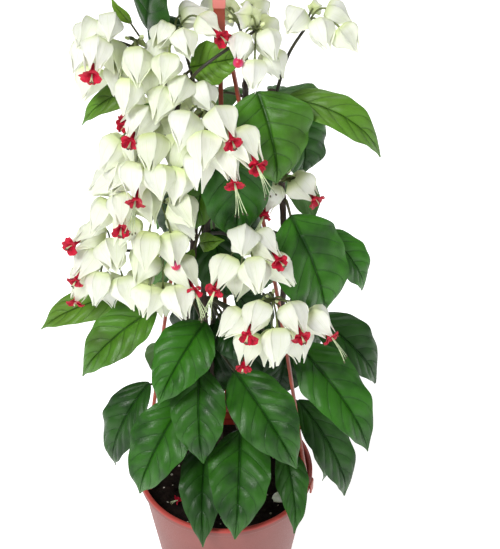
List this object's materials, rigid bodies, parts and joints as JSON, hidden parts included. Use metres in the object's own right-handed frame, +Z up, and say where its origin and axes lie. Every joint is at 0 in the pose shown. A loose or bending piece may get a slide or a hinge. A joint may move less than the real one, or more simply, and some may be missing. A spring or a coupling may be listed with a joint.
{
  "type": "potted plant",
  "caption": "Potted flowering vine trained up a hanging pot's plastic hanger, with glossy leaves and sprays of white lantern-shaped calyces holding crimson flowers.",
  "frame": {"origin": "centre of the pot's flat underside", "axes": "+Z up along the pot's axis, -Y towards the viewer's side with the fullest leaves and flowers, +X to the right seen from there"},
  "size_m": [0.277, 0.2104, 0.6416],
  "materials": {
    "pot": "satin pinkish terracotta plastic, darker red inside the lip",
    "soil": "near-black crumbly potting soil with pale specks",
    "hanger": "satin terracotta red plastic, paler towards the hook",
    "stem": "near-black woody bark, slightly rough",
    "leaf": "glossy deep green blade with sunken darker veins, paler underside",
    "calyx": "matte cream-white calyx, greenish at its base, on grey-green stalks",
    "corolla": "velvety crimson petals, pink where still in bud",
    "stamen": "pale green threads with small dark tips"
  },
  "bodies": {
    "root": {"pot": "pot", "soil": "soil", "hanger_hook": "hanger", "hanger_arm_left": "hanger", "hanger_arm_right": "hanger", "hanger_arm_back": "hanger", "stem_left": "stem", "stem_middle": "stem", "stem_right": "stem", "stem_back": "stem", "leaf_front_low_left": "leaf", "leaf_front_low_mid": "leaf", "leaf_front_low_right": "leaf", "leaf_left_low": "leaf", "leaf_front_pot": "leaf", "leaf_front_pot_left": "leaf", "leaf_right_pot": "leaf", "leaf_right_low": "leaf", "leaf_right_low_dark": "leaf", "leaf_right_low_back": "leaf", "leaves_right_back": "leaf", "leaf_left_low_dark": "leaf", "leaf_left_mid_long": "leaf", "leaf_left_mid": "leaf", "leaves_inner_low": "leaf", "leaves_inner_mid": "leaf", "leaf_right_mid": "leaf", "leaves_right_curl": "leaf", "leaf_middle": "leaf", "leaf_middle_left": "leaf", "leaf_top_mid": "leaf", "leaf_top_mid_back": "leaf", "leaf_right_top": "leaf", "leaf_top_pale": "leaf", "leaves_top_dark": "leaf", "leaves_left_top": "leaf", "leaves_mid_small": "leaf", "leaf_back_centre": "leaf", "leaves_back_low": "leaf", "leaves_back_mid": "leaf", "leaves_back_upper": "leaf", "leaves_back_top": "leaf", "spray_top_left": "calyx", "spray_top_left_low": "calyx", "spray_top_mid": "calyx", "spray_top_right": "calyx", "spray_far_right": "calyx", "spray_under_top": "calyx", "spray_upper": "calyx", "spray_left_upper": "calyx", "spray_left_mid": "calyx", "spray_left_low": "calyx", "spray_left_bottom": "calyx", "spray_mid_low": "calyx", "spray_front": "calyx", "spray_front_low": "calyx", "spray_right": "calyx", "spray_back_left": "calyx", "spray_back_right": "calyx", "spray_back_top": "calyx"}
  },
  "joints": []
}
